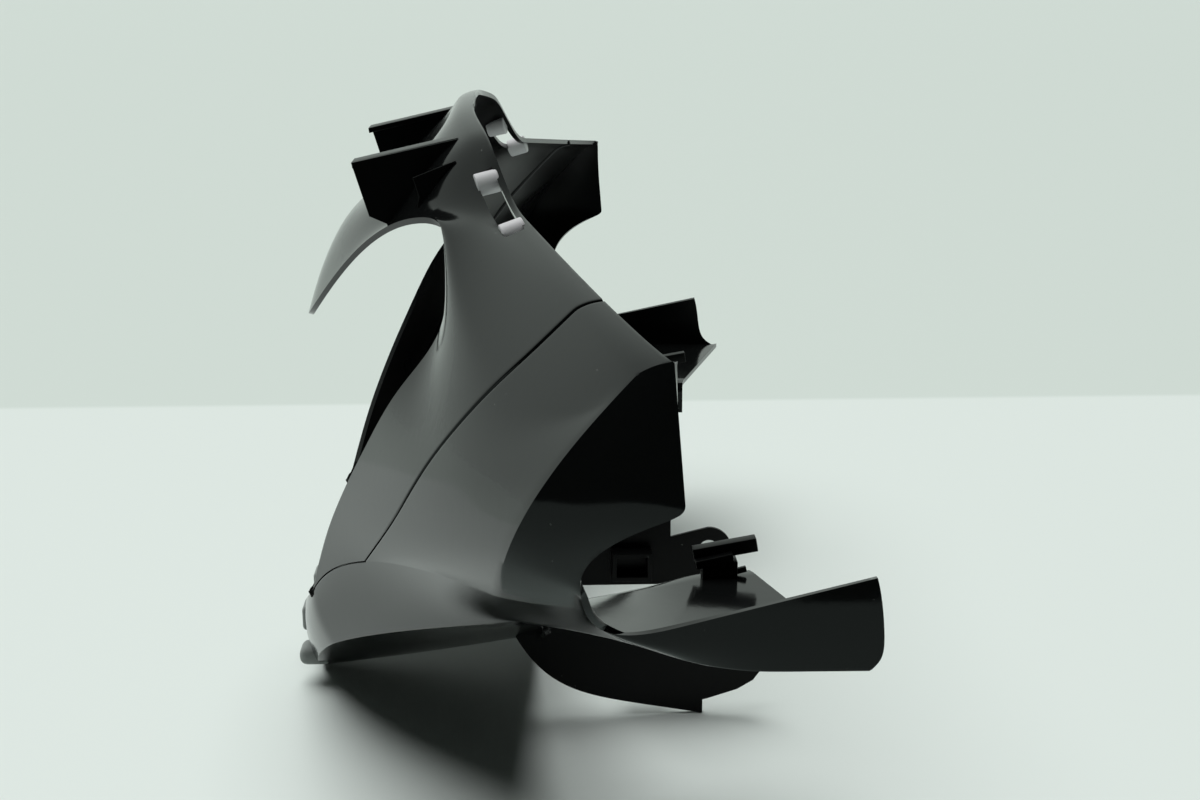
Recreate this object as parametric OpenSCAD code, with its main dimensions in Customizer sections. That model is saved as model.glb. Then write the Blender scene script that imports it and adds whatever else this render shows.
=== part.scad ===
// Scooter handlebar cover: one gloss moulding round a headlight opening.
// Millimetres. +Z up, the scooter's front is -Y, X is across the scooter.
// The sheet is one grid of points: rows run from the top ridge down over
// the face and on under the floor, columns run from the middle line out to
// the arm tip. The skirt plates, ribs and clips are joined to that sheet.

/* [Overall] */
// Half width across the two end faces
half_w = 266; // [240:1:290]
// Height of the top of the hump at the middle line
top_z = 252; // [240:1:264]
// Fall of the hump's top from the middle to its shoulders' start
crown = 5; // [3:0.5:7]
// Height of the shoulders where the hump ends
shoulder_z = 221; // [212:1:230]
// Height of the ridge at the end faces
end_z = 203; // [195:1:210]
// How far forward of the middle the ridge lies at the middle line
ridge_front = 22; // [15:1:30]
// How far the ridge sweeps back from the middle to the ends
ridge_sweep = 59; // [50:1:66]
// How much further forward the hump's flanks lie than the ridge's sweep
hump_lean = 4.5; // [0:0.5:6]
// Where the hump starts to fall
hump_in = 84; // [80:1:90]
// Where the hump has fallen to the shoulder
hump_out = 113; // [108:1:120]
// Width of the flat band along the ridge
band_w = 8; // [6:0.5:11]
// Drop of the band from the ridge to the face
band_drop = 2.5; // [1.5:0.5:4]
// Wall thickness of the moulding
wall = 2.2; // [1.8:0.1:3]

/* [Headlight opening] */
// Height of the visor tip at the middle
visor_z = 159; // [150:1:168]
// How far forward the visor tip reaches
visor_y = 95; // [88:1:99]
// Half width of the opening at its upper corners
rim_top_x = 112; // [104:1:118]
// Height of the upper corners of the opening
rim_top_z = 218; // [213:1:220]
// How far forward the upper corners lie
rim_top_y = 31; // [27:1:36]
// Half width of the opening at its widest
rim_wide_x = 139; // [130:1:146]
// Half width of the opening at its lower corners
rim_low_x = 74; // [66:1:84]
// Height of the lower corners of the opening
rim_low_z = 63; // [57:1:70]
// How far forward the lower corners lie
rim_low_y = 88; // [84:1:92]
// Height of the lowest point of the opening
chin_z = 27; // [22:1:34]
// How far forward the chin reaches
chin_y = 98; // [95:1:101]
// Forward swell of the forehead above the visor
forehead = 10; // [6:1:18]

/* [Groove] */
// Where the groove leaves the ridge
groove_x = 211; // [200:1:222]
// Half width of the groove in the face
groove_half = 0.8; // [0.5:0.1:1.2]
// Depth of the groove in the face
groove_deep = 0.9; // [0.5:0.1:1.2]

/* [End faces and notches] */
// How far back the rear edge of the end face lies
end_rear = 42; // [38:1:48]
// Height of the notch corner on the rear edge
notch_top = 160; // [154:1:166]
// How far back the deepest point of the notch lies
notch_deep = 13; // [9:1:18]
// Height of the deepest point of the notch
notch_mid = 133; // [128:1:138]
// Height of the bottom of the notch
notch_low = 107; // [103:1:112]

/* [Arms and floor] */
// How far back the +X arm reaches at its top
arm_y = 107; // [100:1:114]
// How far back the -X arm reaches at its top
arm_y_left = 93; // [85:1:104]
// How much further back the arm's edge lies just above the floor
arm_lean = 3; // [0:0.5:5]
// How far back the rear corner of the floor reaches
floor_y = 105; // [98:1:108]
// Half width across the arms
arm_x = 219; // [210:1:228]
// Height of the arm top at its tip
arm_top = 123; // [116:1:130]
// Height of the floor above the table
floor_z = 91; // [86:1:96]
// Half width of the floor's inner corner
floor_in_x = 135; // [126:1:142]
// Half width of the floor's inner edge at its front
floor_front_x = 165; // [158:1:170]
// How far back the floor's inner edge starts at its front
floor_front_y = 8; // [4:1:14]
// How far back the floor's inner corner lies
floor_in_y = 78; // [70:1:84]
// Half width where the front face turns into the floor
turn_x = 177; // [170:1:184]
// Depth of the lip turned down along the floor's inner edge
floor_lip = 14; // [6:1:20]
// Height of the keel's rear end at the middle line
keel_z = 17; // [13:1:22]

/* [Skirt] */
// Half distance between the two skirt plates
skirt_x = 58; // [52:1:66]
// Thickness of the skirt plates
skirt_t = 2.4; // [2:0.1:3.2]
// How far back the foot of the skirt lies
skirt_y = 70; // [64:1:74]
// Height of the top of the skirt plates
skirt_top = 48; // [44:1:52]
// Height of the -X skirt plate's lower edge in front of its foot
left_lift = 12; // [0:1:14]
// Radius of the lug round the skirt's bore
lug_r = 11; // [9.5:0.5:13]
// Bore of the skirt lugs
lug_bore = 9.5; // [7:0.5:12]
// How far back the lug bores lie
lug_y = 84.5; // [82:0.5:88]
// Height of the lug bores
lug_z = 29.5; // [27:0.5:33]

/* [Ribs, slots and clips] */
// Thickness of the ribs
rib_t = 2.2; // [1.8:0.1:3]
// How far forward the tip of the tall ribs reaches
tall_tip_y = 66; // [62:1:70]
// Height of the tip of the tall ribs
tall_tip_z = 233; // [230:1:236]
// How much further forward the -X tall rib reaches
left_tip_out = 6; // [0:0.5:8]
// How much lower the -X tall rib's tip lies
left_tip_drop = 1.5; // [0:0.5:3]
// Height of the front edge of the tall ribs
tall_drop = 20; // [16:1:22]
// Width of the flange on the tall ribs
rib_flange = 13; // [9:1:16]
// How far forward the tip of the short ribs reaches
short_tip_y = 42.5; // [40:0.5:45]
// Height of the tip of the short ribs
short_tip_z = 229; // [227:0.5:232]
// Height of the front edge of the short ribs
short_drop = 7; // [5:0.5:9]
// Distance of the recess's upper catch bar from the middle
recess_in = 99; // [96:0.5:101]
// Distance of the recess's lower catch bar from the middle
recess_out = 128.5; // [127:0.5:132]
// Width of the recess across the ridge band
recess_w = 7; // [5:0.5:8]
// Radius of the half-round catch bars in the recess
bar_r = 3.6; // [3:0.2:4.2]
// Length of the clip bars on the floor
clip_l = 23; // [20:1:28]
// Thickness of the clip bars
clip_t = 5; // [4:0.5:6.5]
// Half distance between the clips on the two floors
clip_x = 140; // [138:1:158]
// How far back the clips start
clip_y = 57.5; // [54:0.5:60]
// Half distance between the two tabs under the chin
tab_x = 20; // [16:1:26]
// Width of the tabs under the chin
tab_w = 14; // [10:1:18]
// Height of the underside of the chin tabs
tab_z = 14; // [12:1:16]
// How far the chin tabs reach forward of the chin
tab_out = 4; // [3:0.5:5]

/* [Hidden] */
$fn = 40;
black = [0.035, 0.036, 0.038];

// Row counts: band, forehead, opening side, chin, floor, lip.
nb = 2;
nu = 7;
nm = 15;
nl = 6;
nf = 7;
np = 2;
i_band = nb;
i_rim = nb + nu;
i_chin = i_rim + nm;
i_low = i_chin + nl;
i_in = i_low + nf;
i_end = i_in + np;
// Row that runs from the deepest point of the notch into the arm.
i_notch = i_rim + 11;
// Row that meets the notch corner on the rear edge.
i_corner = i_rim + 5;

// Column of the forehead that the tall ribs stand on.
rib_col = 6;

// Column counts: to the opening's side, the groove, the crease, the rear
// edge and the arm tip.
c0 = 9;
c1 = 8;
c2 = 8;
c3 = 4;
c4 = 10;
j_rim = c0;
j_gro = c0 + c1;
j_cre = j_gro + c2;
j_edge = j_cre + c3;
j_tip = j_edge + c4;

function mix(a, b, t) = a + (b - a) * t;
function clamp(v, a, b) = min(max(v, a), b);
function ease(t) = let (u = clamp(t, 0, 1)) u * u * (3 - 2 * u);
// Curve bent by one pull point.
function bend(a, p, b, t) = (1 - t) * (1 - t) * a + 2 * t * (1 - t) * p + t * t * b;
// Parabola through three points at 0, 1/2 and 1.
function through(a, m, b, t) =
    (2 * t - 1) * (t - 1) * a + 4 * t * (1 - t) * m + t * (2 * t - 1) * b;
// Rises from 0 to 1 with a rounded start.
function vee(t, e) = (sqrt(t * t + e * e) - e) / (sqrt(1 + e * e) - e);
// Smooth curve through a list of points, t from 0 to 1.
function smooth(p, t) =
    let (n = len(p) - 1, s = clamp(t, 0, 1) * n, k = min(floor(s), n - 1), u = s - k,
         a = p[max(k - 1, 0)], b = p[k], c = p[k + 1], d = p[min(k + 2, n)])
    0.5 * ((2 * b) + (c - a) * u + (2 * a - 5 * b + 4 * c - d) * u * u
           + (3 * b - a - 3 * c + d) * u * u * u);

// Ridge along the top.
function ridge_z(x) =
    mix(mix(shoulder_z, end_z, (x - hump_out) / (half_w - 6 - hump_out)), top_z - crown * pow(x / 66, 2),
        1 - ease((x - hump_in) / (hump_out - hump_in)));
function ridge_y(x) = ridge_sweep * pow(x / (half_w - 6), 1.45) - ridge_front
    - hump_lean * ease(x / 60) * (1 - ease((x - hump_in) / (hump_out - hump_in)));
function ridge(x) = [x, ridge_y(x), ridge_z(x)];
function band(x, t) = ridge(x) + [-0.8 * t, -band_w * t, -band_drop * t * t];

// Crease between the face and the end face, by height.
function crease_x(z) = half_w - 6 - (half_w - 6 - (turn_x - 2)) * pow((200 - z) / (200 - floor_z), 2);
function crease_y(z) = -12 + 44 * pow(max(z - 100, 0) / 102, 2.3);
function crease(z) = [crease_x(z), crease_y(z), z];

crease_top = end_z - 4;
crease_rim = crease_top - 9;
crease_chin = 112;
turn = [turn_x, -5, floor_z + 1];

// Side of the opening, from its upper corner to its lower corner.
rim_h = rim_top_z - rim_low_z;
rim_side = [
    [rim_top_x, -rim_top_y, rim_top_z],
    [mix(rim_top_x, rim_wide_x, 0.72), -rim_top_y + 2, rim_top_z - 0.13 * rim_h],
    [rim_wide_x - 0.5, -rim_top_y - 1, rim_top_z - 0.24 * rim_h],
    [rim_wide_x - 3, mix(-rim_top_y, -rim_low_y, 0.30), rim_top_z - 0.375 * rim_h],
    [mix(rim_low_x, rim_wide_x, 0.75), mix(-rim_top_y, -rim_low_y, 0.52), rim_top_z - 0.53 * rim_h],
    [mix(rim_low_x, rim_wide_x, 0.50), mix(-rim_top_y, -rim_low_y, 0.70), rim_top_z - 0.67 * rim_h],
    [mix(rim_low_x, rim_wide_x, 0.24), mix(-rim_top_y, -rim_low_y, 0.86), rim_top_z - 0.82 * rim_h],
    [rim_low_x, -rim_low_y, rim_low_z]];

// Where the groove runs down the face.
groove_low = [mix(rim_low_x, turn_x, 0.52), -61, mix(rim_low_z, 126, 0.52)];
function groove_line(t) = smooth([
    band(groove_x, 1),
    [groove_x - 2, 1, 194],
    [groove_x - 9, -16, 176],
    [groove_x - 24, -33, 152],
    [groove_x - 50, -48, 122],
    groove_low], t);

// Bottom edge of the face, by distance from the middle.
low_x1 = rim_low_x + 6;
low_x2 = mix(low_x1, turn_x, 0.5);
function low_y(x) = (visor_y - 5) * pow(x / turn_x, 2.3) - visor_y;
function low_zz(x) = (floor_z + 1) * pow(vee(x / turn_x, 0.085), 0.85);
function low(x) = [x, low_y(x), low_zz(x)];

// Grid row and column as places along the surface: the lines next to the
// groove lie close beside it, so that it is narrow and sharp.
function row(i) = i == i_chin - 1 ? i_chin - 0.1 : i == i_chin + 1 ? i_chin + 0.18 : i;
function share(j, g) =
    abs(j - j_gro) <= 1 ? 0.5 + g * (j - j_gro) :
    j < j_gro ? 0.5 * (j - j_rim) / (c1 - 1) : 0.5 + 0.5 * (j - 1 - j_gro) / (c2 - 1);

// Key columns of the face by row. Rows above the rim row belong to the
// forehead, rows below the chin row belong to the chin.
function row_t(i, a, b) = (i - a) / (b - a);

function col_mid(i) =
    i <= i_band ? band(0, row_t(i, 0, i_band)) :
    i <= i_rim ? let (t = row_t(i, i_band, i_rim), b = band(0, 1))
        [0, bend(b[1], mix(b[1], -visor_y, 0.72) - forehead * 0.4, -visor_y, t),
            bend(b[2], mix(b[2], visor_z, 0.42) + forehead * 0.6, visor_z, t)] :
    i <= i_chin ? let (t = row_t(i, i_rim, i_chin))
        [0, -visor_y - 3 * t - 20 * t * (1 - t), mix(visor_z, chin_z, t)] :
    let (t = row_t(i, i_chin, i_low))
        [0, bend(-chin_y, -chin_y - 3, -visor_y, t), mix(chin_z, 0, t)];

function col_rim(i) =
    i <= i_band ? band(rim_top_x, row_t(i, 0, i_band)) :
    i <= i_rim ? mix(band(rim_top_x, 1), rim_side[0], row_t(i, i_band, i_rim)) :
    i <= i_chin ? smooth(rim_side, row_t(i, i_rim, i_chin)) :
    let (t = row_t(i, i_chin, i_low)) bend(rim_side[7], rim_side[7] + [3, 0, -9], low(low_x1), t);

function col_gro(i) =
    i <= i_band ? band(groove_x, row_t(i, 0, i_band)) :
    i <= i_chin ? groove_line(pow(row_t(i, i_band, i_chin), 0.92)) :
    let (t = row_t(i, i_chin, i_low), e = low(low_x2)) bend(groove_low, mix(groove_low, e, 0.5) + [0, -1.5, 0], e, t);

function col_cre(i) =
    i <= i_band ? band(half_w - 8, row_t(i, 0, i_band)) + [0, 0, -1.5 * row_t(i, 0, i_band)] :
    i <= i_rim ? crease(mix(crease_top, crease_rim, row_t(i, i_band, i_rim))) :
    i <= i_chin ? crease(mix(crease_rim, crease_chin, row_t(i, i_rim, i_chin))) :
    bend(crease(crease_chin), [turn_x - 7, -16, floor_z], turn, row_t(i, i_chin, i_low));

// Rear edge of the end face, then the upper side of the notch.
edge_top = [half_w - 3, ridge_y(half_w - 6) + 1.5, end_z - 0.5];
edge_low = [half_w, end_rear, notch_top];
notch_in = [half_w - 16, notch_deep, notch_mid];
function col_edge(i) =
    i <= i_corner ? let (t = row_t(i, 0, i_corner)) mix(edge_top, edge_low, pow(t, 1.15)) :
    i <= i_notch ? let (t = row_t(i, i_corner, i_notch))
        [mix(half_w, half_w - 16, pow(t, 1.5)), bend(end_rear, notch_deep - 1, notch_deep, t),
         bend(notch_top, notch_top - 10, notch_mid, t)] :
    mix(notch_in, arm_low(arm_foot), pow(row_t(i, i_notch, i_low), 0.9));

// Lower edge of the end face and the arm, t from the turn to the tip.
function arm_low(t) =
    let (y = mix(-5, floor_y, t), u = max(70 - y, 0) / 75)
    [arm_x - (arm_x - turn_x) * pow(u, 1.35), y, floor_z + 1 - t + 2.5 * sin(180 * clamp(t * 2, 0, 1))];
// Share of the arm's lower edge that lies in front of the notch.
arm_foot = 0.16;
// Upper edge of the arm, t from the deepest point of the notch to the tip.
function arm_high(t, y_end) =
    t < 0.4 ? let (u = t / 0.4)
        [bend(half_w - 16, arm_x + 12, arm_x + 5, u), bend(notch_deep, notch_deep, 36, u),
         bend(notch_mid, notch_low - 1, notch_low, u)] :
    let (u = (t - 0.4) / 0.6)
        [mix(arm_x + 5, arm_x + 1, u), mix(36, y_end, u), mix(notch_low, arm_top, u * (y_end - 36) / (arm_y - 36))];

// Face and end face by row and column, for one half.
function face(i, j, y_end) =
    j <= j_rim ? let (s = j / c0, a = col_mid(i), b = col_rim(i), x = b[0] * s)
        i <= i_band ? band(rim_top_x * s, row_t(i, 0, i_band)) :
        i <= i_rim ? let (t = row_t(i, i_band, i_rim), r = band(rim_top_x * s, 1),
                v = vee(s, 0.07),
                e = [x, mix(a[1], b[1], pow(v, 1.15)), mix(a[2], b[2], pow(sin(90 * v), 1.15))],
                // Blend the ridge's own line into the visor's edge.
                q = [x, mix(a[1], b[1], pow(s, 1.5)), mix(a[2], b[2], pow(s, 1.6))],
                r0 = [0, col_mid(i_band)[1], col_mid(i_band)[2]], w = ease(t))
            mix(q + (r - [x, mix(r0[1], band(rim_top_x, 1)[1], pow(s, 1.5)),
                            mix(r0[2], band(rim_top_x, 1)[2], pow(s, 1.6))]), e, w) :
        i <= i_chin ? let (t = row_t(i, i_rim, i_chin))
            [x, mix(a[1], b[1], mix(pow(vee(s, 0.07), 1.15), pow(s, 2.3), t)),
                mix(a[2], b[2], mix(pow(sin(90 * vee(s, 0.07)), 1.15), pow(vee(s, 0.2), 0.9), t))] :
        [x, mix(a[1], b[1], pow(s, 2.3)), mix(a[2], b[2], pow(vee(s, 0.2), 0.9))] :
    j <= j_cre ? let (a = col_rim(i), b = col_cre(i)) through(a, col_gro(i), b, share(j, groove_half / norm(b - a))) :
    j <= j_edge ? let (t = (j - j_cre) / c3, a = col_cre(i), b = i >= i_low ? arm_low(arm_foot) : col_edge(i))
        i >= i_low ? arm_low(arm_foot * t) :
        mix(a, b, t) + [1.6 * sin(180 * t), 0, 0] :
    let (t = (j - j_edge) / c4, h = row_t(i, i_notch, i_low), a = arm_high(t, y_end),
         b = arm_low(mix(arm_foot, 1, t)), round = 3 * pow(t, 8) * pow(1 - h, 6),
         // The edge stays nearly upright, and only the last row runs to the floor's corner.
         y = mix(mix(a[1], b[1], h), mix(a[1] + arm_lean * h, b[1], pow(h, 9)), pow(t, 10)))
        [mix(a[0], b[0], h) + 1.5 * sin(180 * h) * sin(90 * t), y - round, mix(a[2], b[2], h) - round * 0.3];

// Inner border of the floor and of the keel.
function inner(j) =
    j <= j_cre ? let (s = j <= j_rim ? 0.47 * j / c0 : mix(0.47, 1, share(j, 0.005)))
        [floor_front_x * s, floor_front_y * s * s, mix(keel_z, floor_z, pow(vee(s, 0.13), 1.05))] :
    let (a = [floor_front_x, floor_front_y, floor_z], b = [floor_in_x, floor_in_y, floor_z])
    smooth([a, inner_mix(a, b, 0.27, 0.25), inner_mix(a, b, 0.57, 0.5), inner_mix(a, b, 0.92, 0.75), b],
        (j - j_cre) / (c3 + c4));
function inner_mix(a, b, u, v) = [mix(a[0], b[0], u), mix(a[1], b[1], v), a[2]];
function under(i, j, y_end) =
    let (a = face(i_low, j, y_end), b = inner(j))
    i <= i_in ? let (t = row_t(i, i_low, i_in)) mix(a, b, t) + [0, 0, j < j_cre ? -1.5 * sin(180 * t) : 0] :
    let (t = row_t(i, i_in, i_end), h = mix(3, floor_lip, ease((j - j_cre) / 6)))
        b + [-0.6 * t, 0, -h * t];
function at(i, j, y_end) = i <= i_low ? face(row(i), j, y_end) : under(i, j, y_end);

// Middle of the whole part from front to back.
tip_y = max([for (i = [i_notch : i_low]) face(i, j_tip, arm_y)[1]]);
y_mid = (tip_y - chin_y - tab_out) / 2;

// Which cells of the grid hold material.
function cell(i, j) =
    i < 0 || i >= i_end || j < 0 || j >= j_tip ? false :
    i >= i_rim && i < i_chin && j < j_rim ? false :
    i < i_notch && j >= j_edge ? false : true;
function vert(i, j) = cell(i, j) || cell(i - 1, j) || cell(i, j - 1) || cell(i - 1, j - 1);

module shell() {
    up = [for (i = [0 : i_end]) [for (j = [0 : j_tip]) at(i, j, arm_y)]];
    left = [for (i = [0 : i_end]) [for (j = [0 : j_tip]) at(i, j, arm_y_left)]];
    // Column index runs -j_tip .. j_tip.
    p = [for (i = [0 : i_end]) [for (j = [-j_tip : j_tip])
        j >= 0 ? up[i][j] : [-left[i][-j][0], left[i][-j][1], left[i][-j][2]]]];
    w = 2 * j_tip + 1;
    function get(i, j) = p[i][j + j_tip];
    function has(i, j) = i >= 0 && i <= i_end && abs(j) <= j_tip && vert(i, abs(j));
    function nrm(i, j) =
        let (a = has(i - 1, j) && (cell(i - 1, abs(j)) || cell(i - 1, abs(j) - 1)) ? i - 1 : i,
             b = has(i + 1, j) && (cell(i, abs(j)) || cell(i, abs(j) - 1)) ? i + 1 : i,
             m = abs(j), s = j < 0 ? -1 : 1,
             jo = has(i, s * (m + 1)) && (cell(i, m) || cell(i - 1, m)) ? m + 1 : m,
             ji = m == 0 ? -1 : (cell(i, m - 1) || cell(i - 1, m - 1)) ? m - 1 : m,
             di = get(b, j) - get(a, j), dj = s * (get(i, s * jo) - get(i, s * ji)),
             n = cross(di, dj), l = norm(n))
        n / max(l, 0.0001);
    n = [for (i = [0 : i_end]) [for (j = [-j_tip : j_tip]) has(i, j) ? nrm(i, j) : [0, 0, 0]]];
    // The groove is sunk in the outer skin only.
    function sunk(i, j) = (abs(j) == j_gro && i <= i_chin) || (i == i_chin && abs(j) > j_rim && abs(j) <= j_gro);
    outer = [for (i = [0 : i_end]) for (j = [-j_tip : j_tip])
        get(i, j) - (sunk(i, j) ? groove_deep : 0) * n[i][j + j_tip]];
    inside = [for (i = [0 : i_end]) for (j = [-j_tip : j_tip])
        get(i, j) - wall * (i == i_low ? 1.15 : 1) * n[i][j + j_tip]];
    q = (i_end + 1) * w;
    function id(i, j) = i * w + j + j_tip;
    function mat(i, j) = cell(i, j < 0 ? -j - 1 : j);
    faces = [for (i = [0 : i_end - 1]) for (j = [-j_tip : j_tip - 1]) if (mat(i, j))
        let (a = id(i, j), b = id(i, j + 1), c = id(i + 1, j + 1), d = id(i + 1, j))
        each concat(
            j >= 0 ? [[a, b, c], [a, c, d], [a + q, c + q, b + q], [a + q, d + q, c + q]] :
                [[a, b, d], [b, c, d], [a + q, d + q, b + q], [b + q, d + q, c + q]],
            !mat(i - 1, j) ? [[a, a + q, b + q], [a, b + q, b]] : [],
            !mat(i + 1, j) ? [[d, c, c + q], [d, c + q, d + q]] : [],
            !mat(i, j + 1) || j + 1 >= j_tip ? [[b, b + q, c + q], [b, c + q, c]] : [],
            !mat(i, j - 1) || j - 1 < -j_tip ? [[a, d, d + q], [a, d + q, a + q]] : [])];
    polyhedron(points = concat(outer, inside), faces = faces, convexity = 10);
}

// Plate across X, drawn by its side view, centred on x.
module plate(x, t, outline) {
    translate([x - t / 2, 0, 0]) rotate([90, 0, 90]) linear_extrude(t) polygon(outline);
}

// Side plate of the skirt with its lug.
skirt_front = -9;
skirt_tip = 38;
module skirt_plate(x, lift) {
    span = skirt_y - skirt_front;
    low_edge = [for (k = [0 : 14]) let (y = skirt_front + span * k / 14)
        let (u = (skirt_y - y) / span)
            [y, max(skirt_tip * (0.37 * u + 0.63 * pow(u, 6)), min(lift, (skirt_y - y) * 1.6))]];
    plate(x, skirt_t, concat(low_edge, [
        [skirt_y, 6], [skirt_y + 2, 6.5], [lug_y, lug_z - lug_r - 8], [lug_y + lug_r * 0.6, lug_z - lug_r - 4],
        [lug_y + lug_r, lug_z - lug_r * 0.8], [lug_y + lug_r, lug_z], [lug_y, lug_z + lug_r - 0.2],
        [skirt_y - 4, lug_z + lug_r - 4.5], [skirt_y - 4, skirt_top - 1], [skirt_y - 5, skirt_top],
        [skirt_front - 14, skirt_top - 2], [skirt_front - 20, skirt_tip + 3], [skirt_front - 14, skirt_tip - 0.5]]));
    translate([x, lug_y, lug_z]) rotate([0, 90, 0]) cylinder(h = skirt_t, r = lug_r, center = true);
}

// Small open box on the inner side of a skirt plate.
module skirt_box(side) {
    x = side * (skirt_x - 5);
    difference() {
        translate([x, 47, 24]) cube([10, 19, 14], center = true);
        translate([x - side * 2, 47, 24]) cube([10, 14.6, 9.6], center = true);
    }
}

// Rib standing on the forehead along grid column j, with a top that runs
// from the tip point to the root row.
module rib(j, side, tip, drop, rows) {
    root = [for (i = rows) face(i, j, arm_y)];
    x = root[0][0];
    foot = [for (q = root) [q[1] + 1.1, q[2] - 0.9]];
    plate(side * x, rib_t, concat([tip, [tip[0] + drop * 0.3, tip[1] - drop]], [for (k = [len(foot) - 1 : -1 : 0]) foot[k]]));
}
module rib_cap(j, side, tip, row) {
    q = face(row, j, arm_y);
    x0 = side * q[0];
    x1 = side * (q[0] - rib_flange);
    run = [q[1] + 1 - tip[0], q[2] - 0.6 - tip[1]];
    translate([min(x0, x1), 0, 0]) rotate([90, 0, 90]) linear_extrude(rib_flange)
        polygon([tip, tip + run, tip + run + [0, -rib_t], tip + [0.3, -rib_t]]);
}

// Clip on the floor: a block with two bars that point back and up.
module clip(side) {
    translate([side * clip_x, clip_y, floor_z]) {
        translate([-4, 2.5, -1]) cube([8, 12.5, 9.5]);
        translate([0.5, 0.5, 6]) rotate([12, 0, 0]) cube([4, 13.5, 3]);
        translate([-4, 0, 7.3]) rotate([10, 0, 0]) cube([5, clip_l, clip_t]);
        translate([-1, 12.5, 2]) rotate([14, 0, 0]) cube([2, 6.5, 2]);
    }
}

// Tab that hooks forward under the chin.
module chin_tab(x) {
    translate([x - tab_w / 2, -chin_y - tab_out, tab_z]) {
        cube([tab_w, tab_out + 2, 2.6]);
        cube([tab_w, 2.2, 7]);
    }
}

// Recess in the band on the hump's shoulder: a slot through the wall with
// a half-round catch bar at each end and a narrow gap outside each bar.
bar_gap = 1.6;
bar_rise = 1.3;
module on_band(x, run) {
    translate(band(x, 0.7)) rotate([0, 0, atan2(run[1], run[0])])
        rotate([0, -atan2(run[2], norm([run[0], run[1]])), 0]) rotate([18, 0, 0]) children();
}
module recess_cut() {
    mid = (recess_in + recess_out) / 2;
    open_l = norm(ridge(recess_out) - ridge(recess_in)) - 2 * bar_r;
    on_band(mid, ridge(recess_out) - ridge(recess_in)) cube([open_l, recess_w, 16], center = true);
    on_band(recess_in, bar_run(recess_in)) translate([-bar_r - bar_gap / 2, 0, 0]) cube([bar_gap, recess_w, 7], center = true);
    on_band(recess_out, bar_run(recess_out)) translate([bar_r + bar_gap / 2, 0, 0]) cube([bar_gap, recess_w, 7], center = true);
}
function bar_run(x) = ridge(x + 2) - ridge(x - 2);
module catch_bar(x) {
    on_band(x, bar_run(x)) translate([0, 0, bar_rise - bar_r]) rotate([90, 0, 0]) cylinder(h = recess_w + 1.5, r = bar_r, center = true);
}

module moulding() {
    difference() {
        shell();
        for (side = [0, 1]) mirror([side, 0, 0]) recess_cut();
    }
    for (side = [0, 1]) mirror([side, 0, 0]) {
        catch_bar(recess_in);
        catch_bar(recess_out);
    }
    for (side = [-1, 1]) {
        skirt_plate(side * skirt_x, side > 0 ? 0 : left_lift);
        skirt_box(side);
        tip = side > 0 ? [-tall_tip_y, tall_tip_z] : [-tall_tip_y - left_tip_out, tall_tip_z - left_tip_drop];
        rib(rib_col, side, tip, tall_drop, [i_band : i_rim - 1]);
        rib_cap(rib_col, side, tip, i_band);
        rib(rib_col + 1, side, [-short_tip_y, short_tip_z], short_drop, [i_band + 1 : i_rim - 2]);
        clip(side);
        chin_tab(side * tab_x);
    }
}

module handlebar_cover() {
    color(black) translate([0, -y_mid, 0]) difference() {
        moulding();
        for (side = [-1, 1])
            translate([side * skirt_x, lug_y, lug_z]) rotate([0, 90, 0])
                cylinder(h = 3 * skirt_t, d = lug_bore, center = true);
    }
}

handlebar_cover();
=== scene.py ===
import bpy
import bmesh
import math
from mathutils import Matrix, Vector


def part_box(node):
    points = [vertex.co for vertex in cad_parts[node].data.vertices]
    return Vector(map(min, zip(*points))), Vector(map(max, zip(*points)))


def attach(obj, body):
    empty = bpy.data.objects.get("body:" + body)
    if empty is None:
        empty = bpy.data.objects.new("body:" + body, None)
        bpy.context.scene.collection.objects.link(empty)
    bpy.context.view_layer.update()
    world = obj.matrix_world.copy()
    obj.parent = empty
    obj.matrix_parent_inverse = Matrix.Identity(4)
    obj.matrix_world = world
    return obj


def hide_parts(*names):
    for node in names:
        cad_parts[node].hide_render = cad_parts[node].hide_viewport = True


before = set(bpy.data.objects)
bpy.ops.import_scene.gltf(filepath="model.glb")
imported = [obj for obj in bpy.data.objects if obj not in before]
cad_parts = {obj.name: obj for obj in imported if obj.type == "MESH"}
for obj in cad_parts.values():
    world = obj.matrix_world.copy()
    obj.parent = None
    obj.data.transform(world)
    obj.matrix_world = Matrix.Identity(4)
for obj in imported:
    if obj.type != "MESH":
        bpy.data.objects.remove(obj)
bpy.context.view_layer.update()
mm = 0.001
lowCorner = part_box("handlebar_cover")[0]
print("frame loaded")

# Camera.
camera = {
    "focal": 50.0,            # on a 36 mm wide sensor
    "place": (697.0, 0.0, 311.0),
    "down": 15.28,            # degrees below level
    "turn": 177.57,           # heading from +X
}

# The front edge of the part's box tells where the middle of the moulding is.
frontReach = 102.0
yMid = -frontReach - lowCorner.y / mm


def toFrame(x, y, z):
    return Vector((x, y - yMid, z)) * mm


camData = bpy.data.cameras.new("studioCamera")
camData.sensor_width = 36.0
camData.lens = camera["focal"]
camData.clip_start = 0.01
cam = bpy.data.objects.new("studioCamera", camData)
bpy.context.scene.collection.objects.link(cam)
cam.location = toFrame(*camera["place"])
heading = math.radians(camera["turn"])
drop = math.radians(camera["down"])
level = math.cos(drop)
look = Vector((math.cos(heading) * level, math.sin(heading) * level, -math.sin(drop)))
cam.rotation_euler = look.to_track_quat("-Z", "Y").to_euler()
bpy.context.scene.camera = cam
bpy.context.scene.view_settings.view_transform = "Standard"
print("camera placed")

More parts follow.
